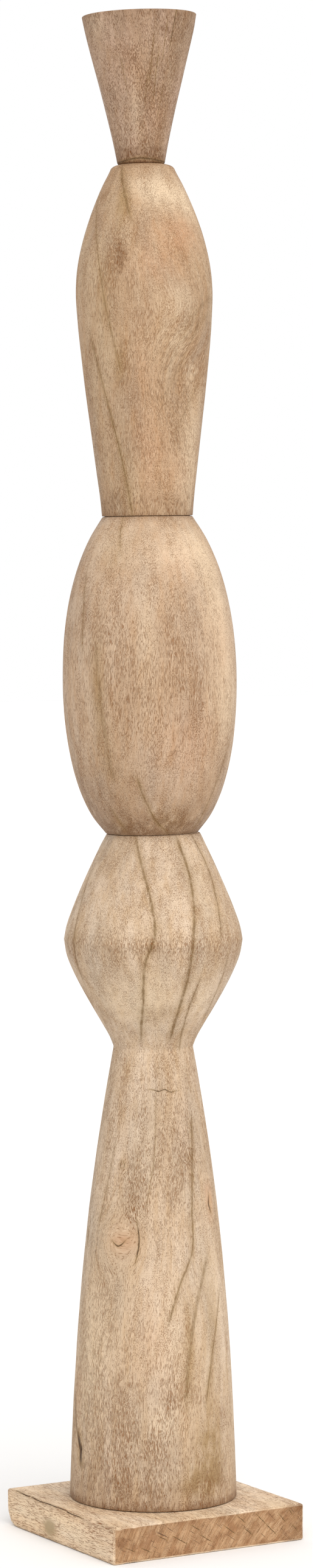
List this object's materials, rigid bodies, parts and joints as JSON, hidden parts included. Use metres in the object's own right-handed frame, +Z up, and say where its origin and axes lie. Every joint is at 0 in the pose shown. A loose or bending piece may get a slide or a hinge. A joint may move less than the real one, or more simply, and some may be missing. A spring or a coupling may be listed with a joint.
{
  "type": "turned wooden totem",
  "caption": "Tall decorative column of stacked lathe-turned wooden forms: a tapering leg, ridged hips, an egg-shaped belly, a shouldered torso and a flared head on a square board.",
  "frame": {"origin": "centre of the board's underside", "axes": "+Z up the column, +X and +Y along the board's sides, +Y along its grain; the picture looks from -X and -Y"},
  "size_m": [0.133, 0.13, 0.9154],
  "materials": {
    "board_wood": "bare sanded wood, waxed",
    "turned_wood": "bare turned wood with open pores and dark mineral lines",
    "head_wood": "bare turned wood, a shade browner",
    "dowel_wood": "fluted beech",
    "screw_steel": "yellow zinc plate"
  },
  "bodies": {
    "root": {"base_board": "board_wood", "leg_and_hips": "turned_wood", "belly": "turned_wood", "torso": "turned_wood", "head": "head_wood", "belly_dowel": "dowel_wood", "torso_dowel": "dowel_wood", "head_dowel": "dowel_wood", "base_screw_1": "screw_steel", "base_screw_2": "screw_steel", "base_screw_3": "screw_steel", "base_screw_4": "screw_steel"}
  },
  "joints": []
}
